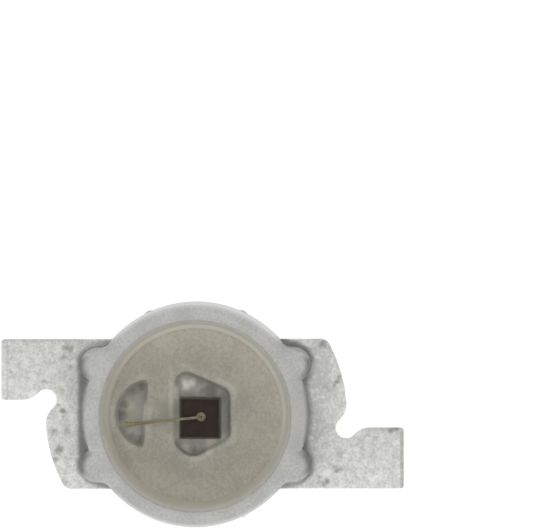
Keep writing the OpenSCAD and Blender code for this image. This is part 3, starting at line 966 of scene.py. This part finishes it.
shaping = wire_path.modifiers.new("form", "NODES")
shaping.node_group = form
for item in form.interface.items_tree:
    if item.in_out == "INPUT" and item.name in wire_sizes:
        shaping[item.identifier] = wire_sizes[item.name]
made = wire_path.evaluated_get(bpy.context.evaluated_depsgraph_get())
wire = placed("gold_wire", bpy.data.meshes.new_from_object(made))
wire_path.modifiers.remove(shaping)
bpy.data.objects.remove(wire_path)
finished(wire, "bond_wire", gold)

# Resin
# Clear, faintly amber casting resin, poured into the cup over chip and wire once both are fixed. It fills
# the cup and the windows in its floor, sticks to all it touches, and sinks a little in curing.
bite = 0.004
resin_edge = body_height - 0.008
resin_dip = 0.025
middle_share = 0.02
resin_bends_light = 1.5
amber_tint = (0.9, 0.8, 0.4, 1)
amber_depth = 100.0


def inside(height):
    """The radius of the cup's inside, with the rounded edge of its mouth."""
    over = max(0.0, height - (body_height - mouth_edge))
    return cup_wall(height) + mouth_edge - math.sqrt(mouth_edge**2 - over**2)


resin_loops = [ring_loop(floor_top - bite, floor_radius - floor_round)]
for curl, rise in rounded(6)[::-1]:
    height = floor_top + floor_round * rise
    reach = cup_wall(height) - floor_round * curl + bite
    resin_loops.append(ring_loop(height - bite * (1 - rise), reach))
for height in np.linspace(floor_top + floor_round, resin_edge, 14)[1:]:
    resin_loops.append(ring_loop(height, inside(height) + bite))
for share in np.linspace(1, middle_share, 40):
    resin_loops.append(ring_loop(resin_edge - resin_dip * (1 - share**2), inside(resin_edge) * share))
resin = lofted("resin_pool", resin_loops)
fills = [floor_cutter(name, arcs, bite, strip_high - bite) for name, arcs in openings.items()]
combine(resin, "UNION", *fills)

clear, resin_shader, place = new_finish("clear_resin")
resin_shader.inputs["Base Color"].default_value = white
resin_shader.inputs["Transmission Weight"].default_value = 1.0
resin_shader.inputs["IOR"].default_value = resin_bends_light
(place.grain(6.0, 2.0) * 0.04).feed(resin_shader.inputs["Roughness"])
amber = clear.node_tree.nodes.new("ShaderNodeVolumeAbsorption")
amber.inputs["Color"].default_value = amber_tint
amber.inputs["Density"].default_value = amber_depth
clear.node_tree.links.new(amber.outputs["Volume"], clear.node_tree.nodes["Material Output"].inputs["Volume"])
finished(resin, "resin_fill", clear)

# Stage
# A plain white floor in a light tent that is brighter at its front and has a dark hole overhead. The camera
# looks straight down through that hole and frames the part as the photo does.
floor_half = 0.3
paper_grey = (0.4, 0.4, 0.4, 1)
paper_glow = 0.75
tent_light = 0.88
roof_gain = 0.15
front_gain = 0.27
hole_dark = 0.75
floor_mesh = bpy.data.meshes.new("floor")
floor_mesh.from_pydata([(floor_half * x, floor_half * y, 0) for x, y in square], [], [(0, 1, 2, 3)])
floor = placed("floor", floor_mesh)
paper, paper_shader, place = new_finish("white_paper")
paper_shader.inputs["Base Color"].default_value = paper_grey
paper_shader.inputs["Roughness"].default_value = 1.0
paper_shader.inputs["Specular IOR Level"].default_value = 0.0
paper_shader.inputs["Emission Color"].default_value = white
paper_shader.inputs["Emission Strength"].default_value = paper_glow
floor_mesh.materials.append(paper)

world = bpy.data.worlds.new("light_tent")
world.use_nodes = True
bpy.context.scene.world = world
sky = world.node_tree.nodes["Background"]
sky.inputs["Color"].default_value = white
direction = Wired(world.node_tree.nodes.new("ShaderNodeTexCoord").outputs["Generated"])
up = direction.axis("Z")
tent = tent_light + up.rise(0.0, 0.7) * roof_gain - direction.axis("Y") * front_gain
(tent * (1.0 - up.rise(0.965, 0.985) * hole_dark)).feed(sky.inputs["Strength"])

photo_width, photo_height = 550, 528
pixels_per_mm = 107
part_centre = (195.96, 413.79)
camera_roll = -0.075
camera_height = 40.0
sensor = 36.0
camera_data = bpy.data.cameras.new("camera")
camera_data.sensor_width = sensor
camera_data.lens = sensor * camera_height * pixels_per_mm / photo_width
camera_data.clip_start = mm
camera = placed("camera", camera_data)
camera.location = Vector((
    (photo_width / 2 - part_centre[0]) / pixels_per_mm,
    (part_centre[1] - photo_height / 2) / pixels_per_mm,
    strip_high + camera_height,
)) * mm
camera.rotation_euler.z = math.radians(camera_roll)
bpy.context.scene.camera = camera
bpy.context.scene.view_settings.view_transform = "Standard"
